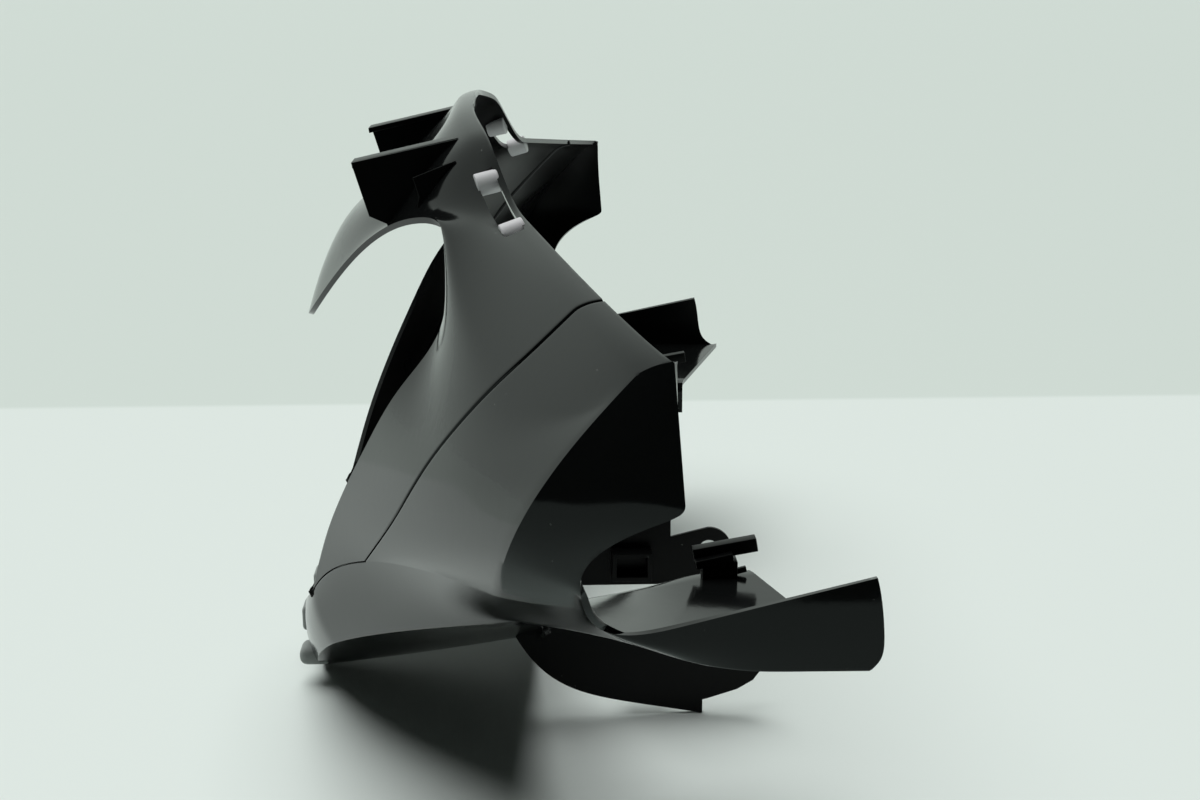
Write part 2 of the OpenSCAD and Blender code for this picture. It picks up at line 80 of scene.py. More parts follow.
# Materials.
dust = {
    "spotScale": 420.0, "spotStart": 0.755, "spotSoft": 0.02,
    "spotShare": 0.35, "spotColor": (0.16, 0.17, 0.16, 1),
}
gloss = {
    **dust,
    "color": (0.0040, 0.0045, 0.0045, 1), "specular": 0.40,
    "roughness": (0.09, 0.15),
    "grain": 260.0, "grainDepth": 0.00002,    # a slow ripple in the gloss
    "detail": 2.0,
}
matte = {
    **dust,
    "color": (0.0024, 0.0026, 0.0026, 1), "specular": 0.12,
    "roughness": (0.26, 0.36),
    "grain": 2600.0, "grainDepth": 0.00002,
}
edgeChipsAndHighlightLook = {                                      # the wall's cut edges: a lighter base colour painted as a highlight, with pale worn chips
    "color": (0.018, 0.020, 0.020, 1), "specular": 0.7, "roughness": (0.22, 0.34),
    "spotScale": 160.0, "spotStart": 0.54, "spotSoft": 0.10,
    "spotShare": 0.8, "spotColor": (0.20, 0.21, 0.205, 1),
    "grain": 1500.0, "grainDepth": 0.00004,
}
pale = {
    **dust,
    "color": (0.62, 0.62, 0.63, 1), "specular": 0.5,
    "roughness": (0.22, 0.34),
    "grain": 900.0, "grainDepth": 0.00004,
}
tab = {
    **pale,
    "color": (0.20, 0.22, 0.21, 1), "roughness": (0.35, 0.5),
    "grain": 1500.0, "grainDepth": 0.00003,
}


def newMaterial(name):
    mat = bpy.data.materials.new(name)
    mat.use_nodes = True
    tree = mat.node_tree
    tree.nodes.clear()
    out = tree.nodes.new("ShaderNodeOutputMaterial")
    shader = tree.nodes.new("ShaderNodeBsdfPrincipled")
    tree.links.new(shader.outputs["BSDF"], out.inputs["Surface"])
    return mat, tree, shader


def addNode(tree, kind, **values):
    node = tree.nodes.new(kind)
    for key, value in values.items():
        if key in node.inputs:
            node.inputs[key].default_value = value
        else:
            setattr(node, key, value)
    return node


def mapRange(tree, source, low, high, fromLow=0.3, fromHigh=0.7):
    node = addNode(tree, "ShaderNodeMapRange")
    node.inputs["From Min"].default_value = fromLow
    node.inputs["From Max"].default_value = fromHigh
    node.inputs["To Min"].default_value = low
    node.inputs["To Max"].default_value = high
    tree.links.new(source, node.inputs["Value"])
    return node.outputs["Result"]


def plasticMaterial(name, look):
    # Moulded plastic: clouded gloss, a fine ripple or grain, and pale specks.
    mat, tree, shader = newMaterial(name)
    coord = addNode(tree, "ShaderNodeTexCoord")
    shader.inputs["Specular IOR Level"].default_value = look["specular"]
    spots = addNode(tree, "ShaderNodeTexNoise", Scale=look["spotScale"], Detail=2.0, Roughness=0.6)
    tree.links.new(coord.outputs["Object"], spots.inputs["Vector"])
    start = look["spotStart"]
    amount = mapRange(tree, spots.outputs["Fac"], 0.0, look["spotShare"], start, start + look["spotSoft"])
    tint = addNode(tree, "ShaderNodeMix", data_type="RGBA")
    tint.inputs[6].default_value = look["color"]
    tint.inputs[7].default_value = look["spotColor"]
    tree.links.new(amount, tint.inputs[0])
    tree.links.new(tint.outputs[2], shader.inputs["Base Color"])
    cloud = addNode(tree, "ShaderNodeTexNoise", Scale=18.0, Detail=4.0, Roughness=0.6)
    tree.links.new(coord.outputs["Object"], cloud.inputs["Vector"])
    low, high = look["roughness"]
    tree.links.new(mapRange(tree, cloud.outputs["Fac"], low, high), shader.inputs["Roughness"])
    detail = look.get("detail", 3.0)
    fine = addNode(tree, "ShaderNodeTexNoise", Scale=look["grain"], Detail=detail, Roughness=0.5)
    tree.links.new(coord.outputs["Object"], fine.inputs["Vector"])
    bump = addNode(tree, "ShaderNodeBump", Strength=1.0, Distance=look["grainDepth"])
    tree.links.new(fine.outputs["Fac"], bump.inputs["Height"])
    tree.links.new(bump.outputs["Normal"], shader.inputs["Normal"])
    return mat


glossBlack = plasticMaterial("glossBlack", gloss)
paleBar = plasticMaterial("paleBar", pale)
matteBlack = plasticMaterial("matteBlack", matte)
# The edge material's lighter base colour is a painted highlight; its pale chips are wear.
edgeChipsAndPaintedHighlight = plasticMaterial("edgeChipsAndPaintedHighlight", edgeChipsAndHighlightLook)
tabGrey = plasticMaterial("tabGrey", tab)
print("materials made")

# The moulded sheet.
cover = {
    "halfW": 266, "topZ": 252, "crown": 5, "shoulderZ": 221, "endZ": 203,
    "ridgeFront": 22, "ridgeSweep": 59, "humpLean": 4.5, "humpIn": 84, "humpOut": 113,
    "bandW": 8, "bandDrop": 2.5, "wall": 2.2,
    "visorZ": 159, "visorY": 95, "rimTop": (112, 31, 218), "rimWideX": 139,
    "rimLow": (74, 88, 63), "chinZ": 27, "chinY": 98, "forehead": 10,
    "grooveX": 211, "grooveHalf": 0.8, "grooveDeep": 1.1,
    "endRear": 42, "notchTop": 160, "notchDeep": 13, "notchMid": 133, "notchLow": 107,
    "armY": 107, "armYLeft": 93, "armLean": 3, "floorY": 105, "armX": 219, "armTop": 123,
    "floorZ": 91, "floorInX": 135, "floorInY": 78, "floorFrontX": 165, "floorFrontY": 8, "turnX": 177,
    "floorLip": 14, "keelZ": 17, "armFoot": 0.16,
    "dip": Vector((0, 6, -8)),               # hollow in the forehead
    "cornerOut": Vector((24, 0.6, 10)),      # how far the low crease swings out
    "creaseSharp": 0.7, "rimSharp": 0.9, "floorSharp": 0.8, "bandSharp": 0.25,
    "smooth": 2, "edgeRound": 0.55, "edgeAngle": 50,
}
c = cover
# Row zones: band, forehead, opening side, chin, floor, lip.
iBand, iRim, iChin, iLow, iIn, iEnd = 2, 9, 24, 30, 37, 39
iCorner, iNotch = 14, 20
# Column zones: opening, groove, crease, rear edge, arm tip.
jRim, jGro, jCre, jEdge, jTip = 9, 17, 25, 29, 39


def mix(a, b, t):
    return a + (b - a) * t


def clamp(v, a=0.0, b=1.0):
    return min(max(v, a), b)


def ease(t):
    u = clamp(t)
    return u * u * (3 - 2 * u)


def bend(a, p, b, t):
    return a * (1 - t) * (1 - t) + p * 2 * t * (1 - t) + b * t * t


def through(a, m, b, t):
    return a * ((2 * t - 1) * (t - 1)) + m * (4 * t * (1 - t)) + b * (t * (2 * t - 1))


def vee(t, e):
    return (math.sqrt(t * t + e * e) - e) / (math.sqrt(1 + e * e) - e)


def sinDeg(a):
    return math.sin(math.radians(a))


def smoothLine(points, t):
    n = len(points) - 1
    s = clamp(t) * n
    k = min(int(s), n - 1)
    u = s - k
    p0, p1 = points[max(k - 1, 0)], points[k]
    p2, p3 = points[k + 1], points[min(k + 2, n)]
    return 0.5 * (p1 * 2 + (p2 - p0) * u + (p0 * 2 - p1 * 5 + p2 * 4 - p3) * u * u
                  + (p1 * 3 - p0 - p2 * 3 + p3) * u * u * u)


def ridgeZ(x):
    shoulder = mix(c["shoulderZ"], c["endZ"], (x - c["humpOut"]) / (c["halfW"] - 6 - c["humpOut"]))
    hump = c["topZ"] - c["crown"] * (x / 66) ** 2
    return mix(shoulder, hump, 1 - ease((x - c["humpIn"]) / (c["humpOut"] - c["humpIn"])))


def ridgeY(x):
    lean = ease(x / 60) * (1 - ease((x - c["humpIn"]) / (c["humpOut"] - c["humpIn"])))
    return c["ridgeSweep"] * (x / (c["halfW"] - 6)) ** 1.45 - c["ridgeFront"] - c["humpLean"] * lean


def ridge(x):
    return Vector((x, ridgeY(x), ridgeZ(x)))


def band(x, t):
    return ridge(x) + Vector((-0.8 * t, -c["bandW"] * t, -c["bandDrop"] * t * t))


def crease(z):
    x = c["halfW"] - 6 - (c["halfW"] - 6 - (c["turnX"] - 2)) * ((200 - z) / (200 - c["floorZ"])) ** 2
    corner = Vector((x, -12 + 44 * (max(z - 100, 0) / 102) ** 2.3, z))
    return corner + c["cornerOut"] * ease((199 - z) / 70)


creaseTop = c["endZ"] - 4
creaseRim = creaseTop - 9
creaseChin = 112
turn = Vector((c["turnX"], -5, c["floorZ"] + 1)) + c["cornerOut"] * 1.2

topX, topY, topZ = c["rimTop"]
lowX, lowY, lowZ = c["rimLow"]
rimH = topZ - lowZ
wideX = c["rimWideX"]
rimSide = [Vector(p) for p in (
    (topX, -topY, topZ),
    (mix(topX, wideX, 0.72), -topY + 2, topZ - 0.13 * rimH),
    (wideX - 0.5, -topY - 1, topZ - 0.24 * rimH),
    (wideX - 3, mix(-topY, -lowY, 0.30), topZ - 0.375 * rimH),
    (mix(lowX, wideX, 0.75), mix(-topY, -lowY, 0.52), topZ - 0.53 * rimH),
    (mix(lowX, wideX, 0.50), mix(-topY, -lowY, 0.70), topZ - 0.67 * rimH),
    (mix(lowX, wideX, 0.24), mix(-topY, -lowY, 0.86), topZ - 0.82 * rimH),
    (lowX, -lowY, lowZ))]
grooveLow = Vector((mix(lowX, c["turnX"], 0.52), -61, mix(lowZ, 126, 0.52)))
grooveLine = [band(c["grooveX"], 1)] + [Vector(p) for p in (
    (c["grooveX"] - 2, 1, 194), (c["grooveX"] - 9, -16, 176),
    (c["grooveX"] - 24, -33, 152), (c["grooveX"] - 50, -48, 122))] + [grooveLow]
lowX1 = lowX + 6
lowX2 = mix(lowX1, c["turnX"], 0.5)


def low(x):
    y = (c["visorY"] - 5) * (x / c["turnX"]) ** 2.3 - c["visorY"]
    return Vector((x, y, (c["floorZ"] + 1) * vee(x / c["turnX"], 0.085) ** 0.85))


def rowT(i, a, b):
    return (i - a) / (b - a)


def colMid(i):
    if i <= iBand:
        return band(0, rowT(i, 0, iBand))
    if i <= iRim:
        t, b = rowT(i, iBand, iRim), band(0, 1)
        return Vector((
            0, bend(b.y, mix(b.y, -c["visorY"], 0.72) - c["forehead"] * 0.4, -c["visorY"], t),
            bend(b.z, mix(b.z, c["visorZ"], 0.42) + c["forehead"] * 0.6, c["visorZ"], t)))
    if i <= iChin:
        t = rowT(i, iRim, iChin)
        return Vector((0, -c["visorY"] - 3 * t - 20 * t * (1 - t), mix(c["visorZ"], c["chinZ"], t)))
    t = rowT(i, iChin, iLow)
    return Vector((0, bend(-c["chinY"], -c["chinY"] - 3, -c["visorY"], t), mix(c["chinZ"], 0, t)))


def colRim(i):
    if i <= iBand:
        return band(topX, rowT(i, 0, iBand))
    if i <= iRim:
        return mix(band(topX, 1), rimSide[0], rowT(i, iBand, iRim))
    if i <= iChin:
        return smoothLine(rimSide, rowT(i, iRim, iChin))
    return bend(rimSide[7], rimSide[7] + Vector((3, 0, -9)), low(lowX1), rowT(i, iChin, iLow))


def colGro(i):
    if i <= iBand:
        return band(c["grooveX"], rowT(i, 0, iBand))
    if i <= iChin:
        return smoothLine(grooveLine, rowT(i, iBand, iChin) ** 0.92)
    e = low(lowX2)
    return bend(grooveLow, mix(grooveLow, e, 0.5) + Vector((0, -1.5, 0)), e, rowT(i, iChin, iLow))


def colCre(i):
    if i <= iBand:
        t = rowT(i, 0, iBand)
        return band(c["halfW"] - 3.5 - 2 * t, t) + Vector((0, 0, -1.5 * t))
    if i <= iRim:
        return crease(mix(creaseTop, creaseRim, rowT(i, iBand, iRim)))
    if i <= iChin:
        return crease(mix(creaseRim, creaseChin, rowT(i, iRim, iChin)))
    low = Vector((c["turnX"] - 7, -16, c["floorZ"])) + c["cornerOut"]
    return bend(crease(creaseChin), low, turn, rowT(i, iChin, iLow))


edgeTop = Vector((c["halfW"] - 3, ridgeY(c["halfW"] - 6) + 1.5, c["endZ"] - 0.5))
edgeLow = Vector((c["halfW"] - 0.2, c["endRear"], c["notchTop"]))
notchIn = Vector((c["halfW"] - 16, c["notchDeep"], c["notchMid"]))
armFoot = c["armFoot"]    # share of the arm's lower edge in front of the notch


def armLow(t):
    y = mix(-5, c["floorY"], t)
    u = max(70 - y, 0) / 75
    edge = Vector((c["armX"] - (c["armX"] - c["turnX"]) * u ** 1.35, y,
                   c["floorZ"] + 1 - t + 2.5 * sinDeg(180 * clamp(t * 2))))
    return edge + c["cornerOut"] * 1.2 * (1 - ease(t / 0.7))


def armHigh(t, yEnd):
    if t < 0.4:
        u = t / 0.4
        return Vector((bend(c["halfW"] - 16, c["armX"] + 12, c["armX"] + 5, u),
                       bend(c["notchDeep"], c["notchDeep"], 36, u),
                       bend(c["notchMid"], c["notchLow"] - 1, c["notchLow"], u)))
    u = (t - 0.4) / 0.6
    return Vector((mix(c["armX"] + 5, c["armX"] + 1, u), mix(36, yEnd, u),
                   mix(c["notchLow"], c["armTop"], u * (yEnd - 36) / (c["armY"] - 36))))


def colEdge(i):
    if i <= iCorner:
        return mix(edgeTop, edgeLow, rowT(i, 0, iCorner) ** 1.15)
    if i <= iNotch:
        t = rowT(i, iCorner, iNotch)
        return Vector((mix(c["halfW"] - 0.2, c["halfW"] - 16, t ** 1.5),
                       bend(c["endRear"], c["notchDeep"] - 1, c["notchDeep"], t),
                       bend(c["notchTop"], c["notchTop"] - 10, c["notchMid"], t)))
    return mix(notchIn, armLow(armFoot), rowT(i, iNotch, iLow) ** 0.9)


def share(j):
    # Share of the way from the opening to the crease; the groove lies at one half.
    if j <= jGro:
        return 0.5 * (j - jRim) / (jGro - jRim)
    return 0.5 + 0.5 * (j - jGro) / (jCre - jGro)


def facePoint(i, j, off, yEnd):
    if j <= jRim:
        s, a, b = j / jRim, colMid(i), colRim(i)
        x = b.x * s
        if i <= iBand:
            return band(topX * s, rowT(i, 0, iBand))
        if i <= iRim:
            t, r, v = rowT(i, iBand, iRim), band(topX * s, 1), vee(s, 0.07)
            e = Vector((x, mix(a.y, b.y, v ** 1.15), mix(a.z, b.z, sinDeg(90 * v) ** 1.15)))
            q = Vector((x, mix(a.y, b.y, s ** 1.5), mix(a.z, b.z, s ** 1.6)))
            r0, r1 = band(0, 1), band(topX, 1)
            r2 = Vector((x, mix(r0.y, r1.y, s ** 1.5), mix(r0.z, r1.z, s ** 1.6)))
            u = min(t / 0.62, 1)
            hollow = c["dip"] * 6.75 * u * (1 - u) ** 2 * (1 - ease(s / 0.62))
            return mix(q + r - r2, e, ease(t)) + hollow
        if i <= iChin:
            t, v = rowT(i, iRim, iChin), vee(s, 0.07)
            return Vector((x, mix(a.y, b.y, mix(v ** 1.15, s ** 2.3, t)),
                           mix(a.z, b.z, mix(sinDeg(90 * v) ** 1.15, vee(s, 0.2) ** 0.9, t))))
        return Vector((x, mix(a.y, b.y, s ** 2.3), mix(a.z, b.z, vee(s, 0.2) ** 0.9)))
    if j <= jCre:
        a, m, b = colRim(i), colGro(i), colCre(i)
        return through(a, m, b, share(j) + off / (b - a).length)
    if j <= jEdge:
        t = rowT(j, jCre, jEdge)
        if i >= iLow:
            return armLow(armFoot * t)
        return mix(colCre(i), colEdge(i), t) + Vector((1.6 * sinDeg(180 * t) * ease(i / iRim), 0, 0))
    t, h = rowT(j, jEdge, jTip), rowT(i, iNotch, iLow)
    a, b = armHigh(t, yEnd), armLow(mix(armFoot, 1, t))
    tip = t ** 8 * (1 - h) ** 6
    y = mix(mix(a.y, b.y, h), mix(a.y + c["armLean"] * h, b.y, h ** 9), t ** 10)
    swell = 1.5 * sinDeg(180 * h) * sinDeg(90 * t)
    return Vector((mix(a.x, b.x, h) + swell, y - tip, mix(a.z, b.z, h) - tip * 0.3))


def floorInner(j):
    frontX, frontY, inX, inY = c["floorFrontX"], c["floorFrontY"], c["floorInX"], c["floorInY"]
    z = c["floorZ"]
    if j <= jCre:
        s = 0.47 * j / jRim if j <= jRim else mix(0.47, 1, share(j))
        return Vector((frontX * s, frontY * s * s, mix(c["keelZ"], z, vee(s, 0.13) ** 1.05)))
    edge = [Vector((mix(frontX, inX, u), mix(frontY, inY, v), z))
            for u, v in ((0, 0), (0.27, 0.25), (0.57, 0.5), (0.92, 0.75), (1, 1))]
    return smoothLine(edge, rowT(j, jCre, jTip))


def underPoint(i, j, off, yEnd):
    a, b = facePoint(iLow, j, off, yEnd), floorInner(j)
    if i <= iIn:
        t = rowT(i, iLow, iIn)
        return mix(a, b, t) + Vector((0, 0, -1.5 * sinDeg(180 * t) if j < jCre else 0))
    t = rowT(i, iIn, iEnd)
    h = mix(3, c["floorLip"], ease((j - jCre) / 6))
    return b + Vector((-0.6 * t, 0, -h * t))


def sheetPoint(i, j, off, yEnd):
    return facePoint(i, j, off, yEnd) if i <= iLow else underPoint(i, j, off, yEnd)


def hasCell(i, j):
    if iRim <= i < iChin and j < jRim:
        return False
    return not (i < iNotch and j >= jEdge)


# Rows and columns, with close lines that hold the groove and its short branch crisp.
grooveLines = [(k * c["grooveHalf"], abs(k) < 1) for k in (-2, -1, -0.5, 0.5, 1, 2)]
branchLines = [(k * 0.08, abs(k) < 1) for k in (-2, -1, -0.5, 0, 0.5, 1, 2)]
rows, columns = [], []
for i in range(iEnd + 1):
    rows += [(i + off, sunk) for off, sunk in branchLines] if i == iChin else [(i, False)]
for j in range(jTip + 1):
    columns += [(j, off, sunk) for off, sunk in grooveLines] if j == jGro else [(j, 0, False)]


def buildSheet():
    mesh = bmesh.new()
    creaseLayer = mesh.edges.layers.float.new("crease_edge")
    # From the left arm's tip over the middle line to the right arm's tip.
    spots = [(-1, n) for n in range(len(columns) - 1, 0, -1)] + [(1, n) for n in range(len(columns))]
    place = []
    for row in rows:
        line = []
        for side, n in spots:
            j, off = columns[n][:2]
            p = sheetPoint(row[0], j, off, c["armY"] if side > 0 else c["armYLeft"])
            line.append(Vector((p.x * side, p.y, p.z)))
        place.append(line)
    verts = {}

    def vertAt(r, k):
        if (r, k) not in verts:
            verts[r, k] = mesh.verts.new(place[r][k])
        return verts[r, k]

    for r in range(len(rows) - 1):
        iMid = (rows[r][0] + rows[r + 1][0]) / 2
        for k in range(len(spots) - 1):
            jA, jB = columns[spots[k][1]], columns[spots[k + 1][1]]
            jMid = (jA[0] + jB[0]) / 2
            if hasCell(iMid, jMid):
                corners = (r, k), (r + 1, k), (r + 1, k + 1), (r, k + 1)
                face = mesh.faces.new([vertAt(*corner) for corner in corners])
                face.material_index = 2 if iMid > iLow else 0
    mesh.normal_update()
    # Sink the groove's floor along the face's own normal.
    for (r, k), v in verts.items():
        side, n = spots[k]
        (i, sunkRow), (j, off, sunkColumn) = rows[r], columns[n]
        if (sunkColumn and i <= iChin + 0.04) or (sunkRow and jRim <= j <= jGro and off < 0.5):
            v.co -= v.normal * c["grooveDeep"]
    index = {v: key for key, v in verts.items()}
    rowSharp = {iLow: c["rimSharp"], iIn: c["floorSharp"], iBand: c["bandSharp"]}
    for e in mesh.edges:
        (r1, k1), (r2, k2) = index[e.verts[0]], index[e.verts[1]]
        if k1 == k2 and columns[spots[k1][1]][0] == jCre:
            e[creaseLayer] = c["creaseSharp"]
        elif r1 == r2:
            e[creaseLayer] = rowSharp.get(rows[r1][0], 0.0)
    data = bpy.data.meshes.new("coverSheet")
    for v in mesh.verts:
        v.co = toFrame(*v.co)
    mesh.to_mesh(data)
    mesh.free()
    obj = bpy.data.objects.new("coverSheet", data)
    bpy.context.scene.collection.objects.link(obj)
    return obj


def settle(obj, angle=32):
    # Applies the modifiers and keeps corners above the angle sharp.
    bpy.context.view_layer.update()
    graph = bpy.context.evaluated_depsgraph_get()
    data = bpy.data.meshes.new_from_object(obj.evaluated_get(graph))
    obj.modifiers.clear()
    obj.data = data
    data.polygons.foreach_set("use_smooth", [True] * len(data.polygons))
    data.set_sharp_from_angle(angle=math.radians(angle))
    return obj


sheet = buildSheet()
# Outside and inside of the face, outside and inside of the floor, and the edges, which carry a painted
# highlight and worn chips.
for mat in (glossBlack, matteBlack, glossBlack, glossBlack, edgeChipsAndPaintedHighlight):
    sheet.data.materials.append(mat)
mod = sheet.modifiers.new("smoothSheet", "SUBSURF")
mod.levels = mod.render_levels = c["smooth"]
mod.boundary_smooth = "PRESERVE_CORNERS"
mod = sheet.modifiers.new("wall", "SOLIDIFY")
mod.thickness = c["wall"] * mm
mod.offset = -1
mod.use_even_offset = False
mod.material_offset = 1
mod = sheet.modifiers.new("edges", "BEVEL")
mod.width = c["edgeRound"] * mm
mod.segments = 2
mod.limit_method = "ANGLE"
mod.angle_limit = math.radians(c["edgeAngle"])
# The bevelled edges take the edge material: a painted highlight with worn chips.
mod.material = 4
settle(sheet)
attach(sheet, "root")
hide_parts("handlebar_cover")
print("sheet built:", len(sheet.data.polygons), "faces")

# Plates, ribs and clips.
def circlePoints(y, z, radius, count=48):
    turns = [2 * math.pi * k / count for k in range(count)]
    return [(y + radius * math.cos(a), z + radius * math.sin(a)) for a in turns]


def plate(name, outline, x, thickness, holes=(), edge=0.3, material=None):
    # A flat outline in the side view, drawn as a curve and given its thickness across X.
    data = bpy.data.curves.new(name, "CURVE")
    data.dimensions = "2D"
    data.fill_mode = "BOTH"
    data.extrude = (thickness / 2 - edge) * mm
    data.bevel_depth = edge * mm
    data.offset = -edge * mm
    data.bevel_resolution = 2
    for points in (outline, *holes):
        spline = data.splines.new("POLY")
        spline.points.add(len(points) - 1)
        for point, (y, z) in zip(spline.points, points):
            point.co = ((y - yMid) * mm, z * mm, 0, 1)
        spline.use_cyclic_u = True
    curve = bpy.data.objects.new(name + "Curve", data)
    bpy.context.scene.collection.objects.link(curve)
    curve.matrix_world = Matrix(((0, 0, 1, x * mm), (1, 0, 0, 0), (0, 1, 0, 0), (0, 0, 0, 1)))
    bpy.context.view_layer.update()
    graph = bpy.context.evaluated_depsgraph_get()
    mesh = bpy.data.meshes.new_from_object(curve.evaluated_get(graph))
    mesh.transform(curve.matrix_world)
    bpy.data.objects.remove(curve)
    return finishPiece(name, mesh, material)


def finishPiece(name, mesh, material=None, angle=32):
    piece = bpy.data.objects.new(name, mesh)
    bpy.context.scene.collection.objects.link(piece)
    mesh.materials.clear()
    mesh.materials.append(material or matteBlack)
    mesh.polygons.foreach_set("use_smooth", [True] * len(mesh.polygons))
    mesh.set_sharp_from_angle(angle=math.radians(angle))
    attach(piece, "root")
    return piece


def block(name, corner, size, tilt=0, edge=0.35, material=None):
    # A bevelled bar: corner and size in mm, tilted about X through its corner.
    mesh = bmesh.new()
    bmesh.ops.create_cube(mesh, size=1)
    for v in mesh.verts:
        v.co = Vector(((v.co.x + 0.5) * size[0], (v.co.y + 0.5) * size[1], (v.co.z + 0.5) * size[2]))
    bmesh.ops.bevel(mesh, geom=list(mesh.edges), offset=edge, segments=4, affect="EDGES", profile=0.5)
    spin = Matrix.Rotation(math.radians(tilt), 3, "X")
    for v in mesh.verts:
        v.co = toFrame(*(Vector(corner) + spin @ v.co))
    data = bpy.data.meshes.new(name)
    mesh.to_mesh(data)
    mesh.free()
    return finishPiece(name, data, material)


recess = {
    "inner": 99, "outer": 128.5,              # where the two bars lie along the ridge
    "width": 7, "deep": 16, "tilt": 18,
    "barR": 4.2, "barGap": 1.2, "barRise": 1.6, "barHold": 1.5,
}


def onBand(x, run, side):
    # A frame on the ridge band: x along the ridge, z away from the wall.
    heading = math.atan2(run.y, run.x)
    climb = -math.atan2(run.z, math.hypot(run.x, run.y))
    spin = (Matrix.Rotation(heading, 4, "Z") @ Matrix.Rotation(climb, 4, "Y")
            @ Matrix.Rotation(math.radians(recess["tilt"]), 4, "X"))
    flip = Matrix.Diagonal((side, 1, 1, 1))
    return flip @ Matrix.Translation(band(x, 0.7)) @ spin


def barRun(x):
    return ridge(x + 2) - ridge(x - 2)


def cutRecess():
    r = recess
    cutter = bmesh.new()
    chord = ridge(r["outer"]) - ridge(r["inner"])
    size = (chord.length + 2 * (r["barR"] + r["barGap"]), r["width"], r["deep"])
    for side in (1, -1):
        made = bmesh.ops.create_cube(cutter, size=1)["verts"]
        bmesh.ops.scale(cutter, vec=size, verts=made)
        bmesh.ops.transform(cutter, matrix=onBand((r["inner"] + r["outer"]) / 2, chord, side), verts=made)
    bmesh.ops.recalc_face_normals(cutter, faces=cutter.faces)
    for v in cutter.verts:
        v.co = toFrame(*v.co)
    data = bpy.data.meshes.new("recessCutter")
    cutter.to_mesh(data)
    cutter.free()
    tool = bpy.data.objects.new("recessCutter", data)
    bpy.context.scene.collection.objects.link(tool)
    mod = sheet.modifiers.new("recess", "BOOLEAN")
    mod.operation = "DIFFERENCE"
    mod.solver = "EXACT"
    mod.object = tool
    settle(sheet)
    bpy.data.objects.remove(tool)


def catchBar(name, x, side):
    r = recess
    mesh = bmesh.new()
    bmesh.ops.create_cone(mesh, cap_ends=True, segments=40, radius1=r["barR"], radius2=r["barR"],
                          depth=r["width"] + r["barHold"])
    rims = [e for e in mesh.edges if abs(e.verts[0].co.z - e.verts[1].co.z) < 1e-6]
    bmesh.ops.bevel(mesh, geom=rims, offset=0.6, segments=3, affect="EDGES", profile=0.5)
    lay = Matrix.Translation((0, 0, r["barRise"] - r["barR"])) @ Matrix.Rotation(math.radians(90), 4, "X")
    bmesh.ops.transform(mesh, matrix=onBand(x, barRun(x), side) @ lay, verts=mesh.verts)
    bmesh.ops.recalc_face_normals(mesh, faces=mesh.faces)
    for v in mesh.verts:
        v.co = toFrame(*v.co)
    data = bpy.data.meshes.new(name)
    mesh.to_mesh(data)
    mesh.free()
    return finishPiece(name, data, paleBar)


cutRecess()
for side, word in ((1, "Right"), (-1, "Left")):
    catchBar("catchBarInner" + word, recess["inner"], side)
    catchBar("catchBarOuter" + word, recess["outer"], side)
print("recess cut:", len(sheet.data.polygons), "faces")

skirt = {
    "x": 58, "t": 2.4, "front": -9, "tip": 38, "y": 70, "top": 48,
    "lift": 12,                               # of the left plate's lower edge
    "lugR": 11, "bore": 9.5, "lugY": 84.5, "lugZ": 29.5,
    "boxY": (37.5, 56.5), "boxZ": (17, 31), "boxDeep": 10, "boxWall": 2.2,
}
for side, word in ((1, "Right"), (-1, "Left")):
    s = skirt
    span = s["y"] - s["front"]
    outline = []
    for k in range(29):
        y = s["front"] + span * k / 28
        u = (s["y"] - y) / span
        lift = min(s["lift"], (s["y"] - y) * 1.6) if side < 0 else 0
        outline.append((y, max(s["tip"] * (0.37 * u + 0.63 * u ** 6), lift)))
    ly, lz, lr = s["lugY"], s["lugZ"], s["lugR"]
    angles = [math.radians(a) for a in range(-60, 100, 8)]
    lug = [(ly + lr * math.cos(a), lz + lr * math.sin(a)) for a in angles]
    outline += [(s["y"], 6), (s["y"] + 2, 6.5), (ly, lz - lr - 8), (ly + lr * 0.6, lz - lr - 4)]
    outline += [(ly + lr, lz - lr * 0.8)] + [p for p in lug if p[1] > lz - lr * 0.6]
    outline += [(s["y"] - 4, lz + lr - 4.5), (s["y"] - 4, s["top"] - 1), (s["y"] - 5, s["top"]),
                (s["front"] - 14, s["top"] - 2), (s["front"] - 20, s["tip"] + 3),
                (s["front"] - 14, s["tip"] - 0.5)]
    plate("skirtPlate" + word, outline, side * s["x"], s["t"], [circlePoints(ly, lz, s["bore"] / 2)])
    frames = []
    for wall in (0, s["boxWall"]):
        (y0, y1), (z0, z1) = s["boxY"], s["boxZ"]
        y0, y1, z0, z1 = y0 + wall, y1 - wall, z0 + wall, z1 - wall
        frames.append([(y0, z0), (y1, z0), (y1, z1), (y0, z1)])
    plate("skirtBox" + word, frames[0], side * (s["x"] - s["boxDeep"] / 2), s["boxDeep"], frames[1:])

ribs = {
    "t": 2.2, "flange": 13,
    "tallTip": {1: (-66, 233), -1: (-72, 231.5)}, "tallDrop": 20, "tallColumn": 6,
    "shortTip": (-42.5, 229), "shortDrop": 7, "shortColumn": 7,
}


def rib(name, side, column, head, fall, rowsUsed):
    # Stands on the forehead along one column, with its top running to the tip.
    feet = [facePoint(i, column, 0, c["armY"]) for i in rowsUsed]
    outline = [head, (head[0] + fall * 0.3, head[1] - fall)]
    outline += [(p.y + 1.1, p.z - 0.9) for p in reversed(feet)]
    plate(name, outline, side * feet[0].x, ribs["t"])


def ribCap(name, side, tip):
    root = facePoint(iBand, ribs["tallColumn"], 0, c["armY"])
    end = root.y + 1, root.z - 0.6
    outline = [tip, end, (end[0], end[1] - ribs["t"]), (tip[0] + 0.3, tip[1] - ribs["t"])]
    plate(name, outline, side * (root.x - ribs["flange"] / 2), ribs["flange"])


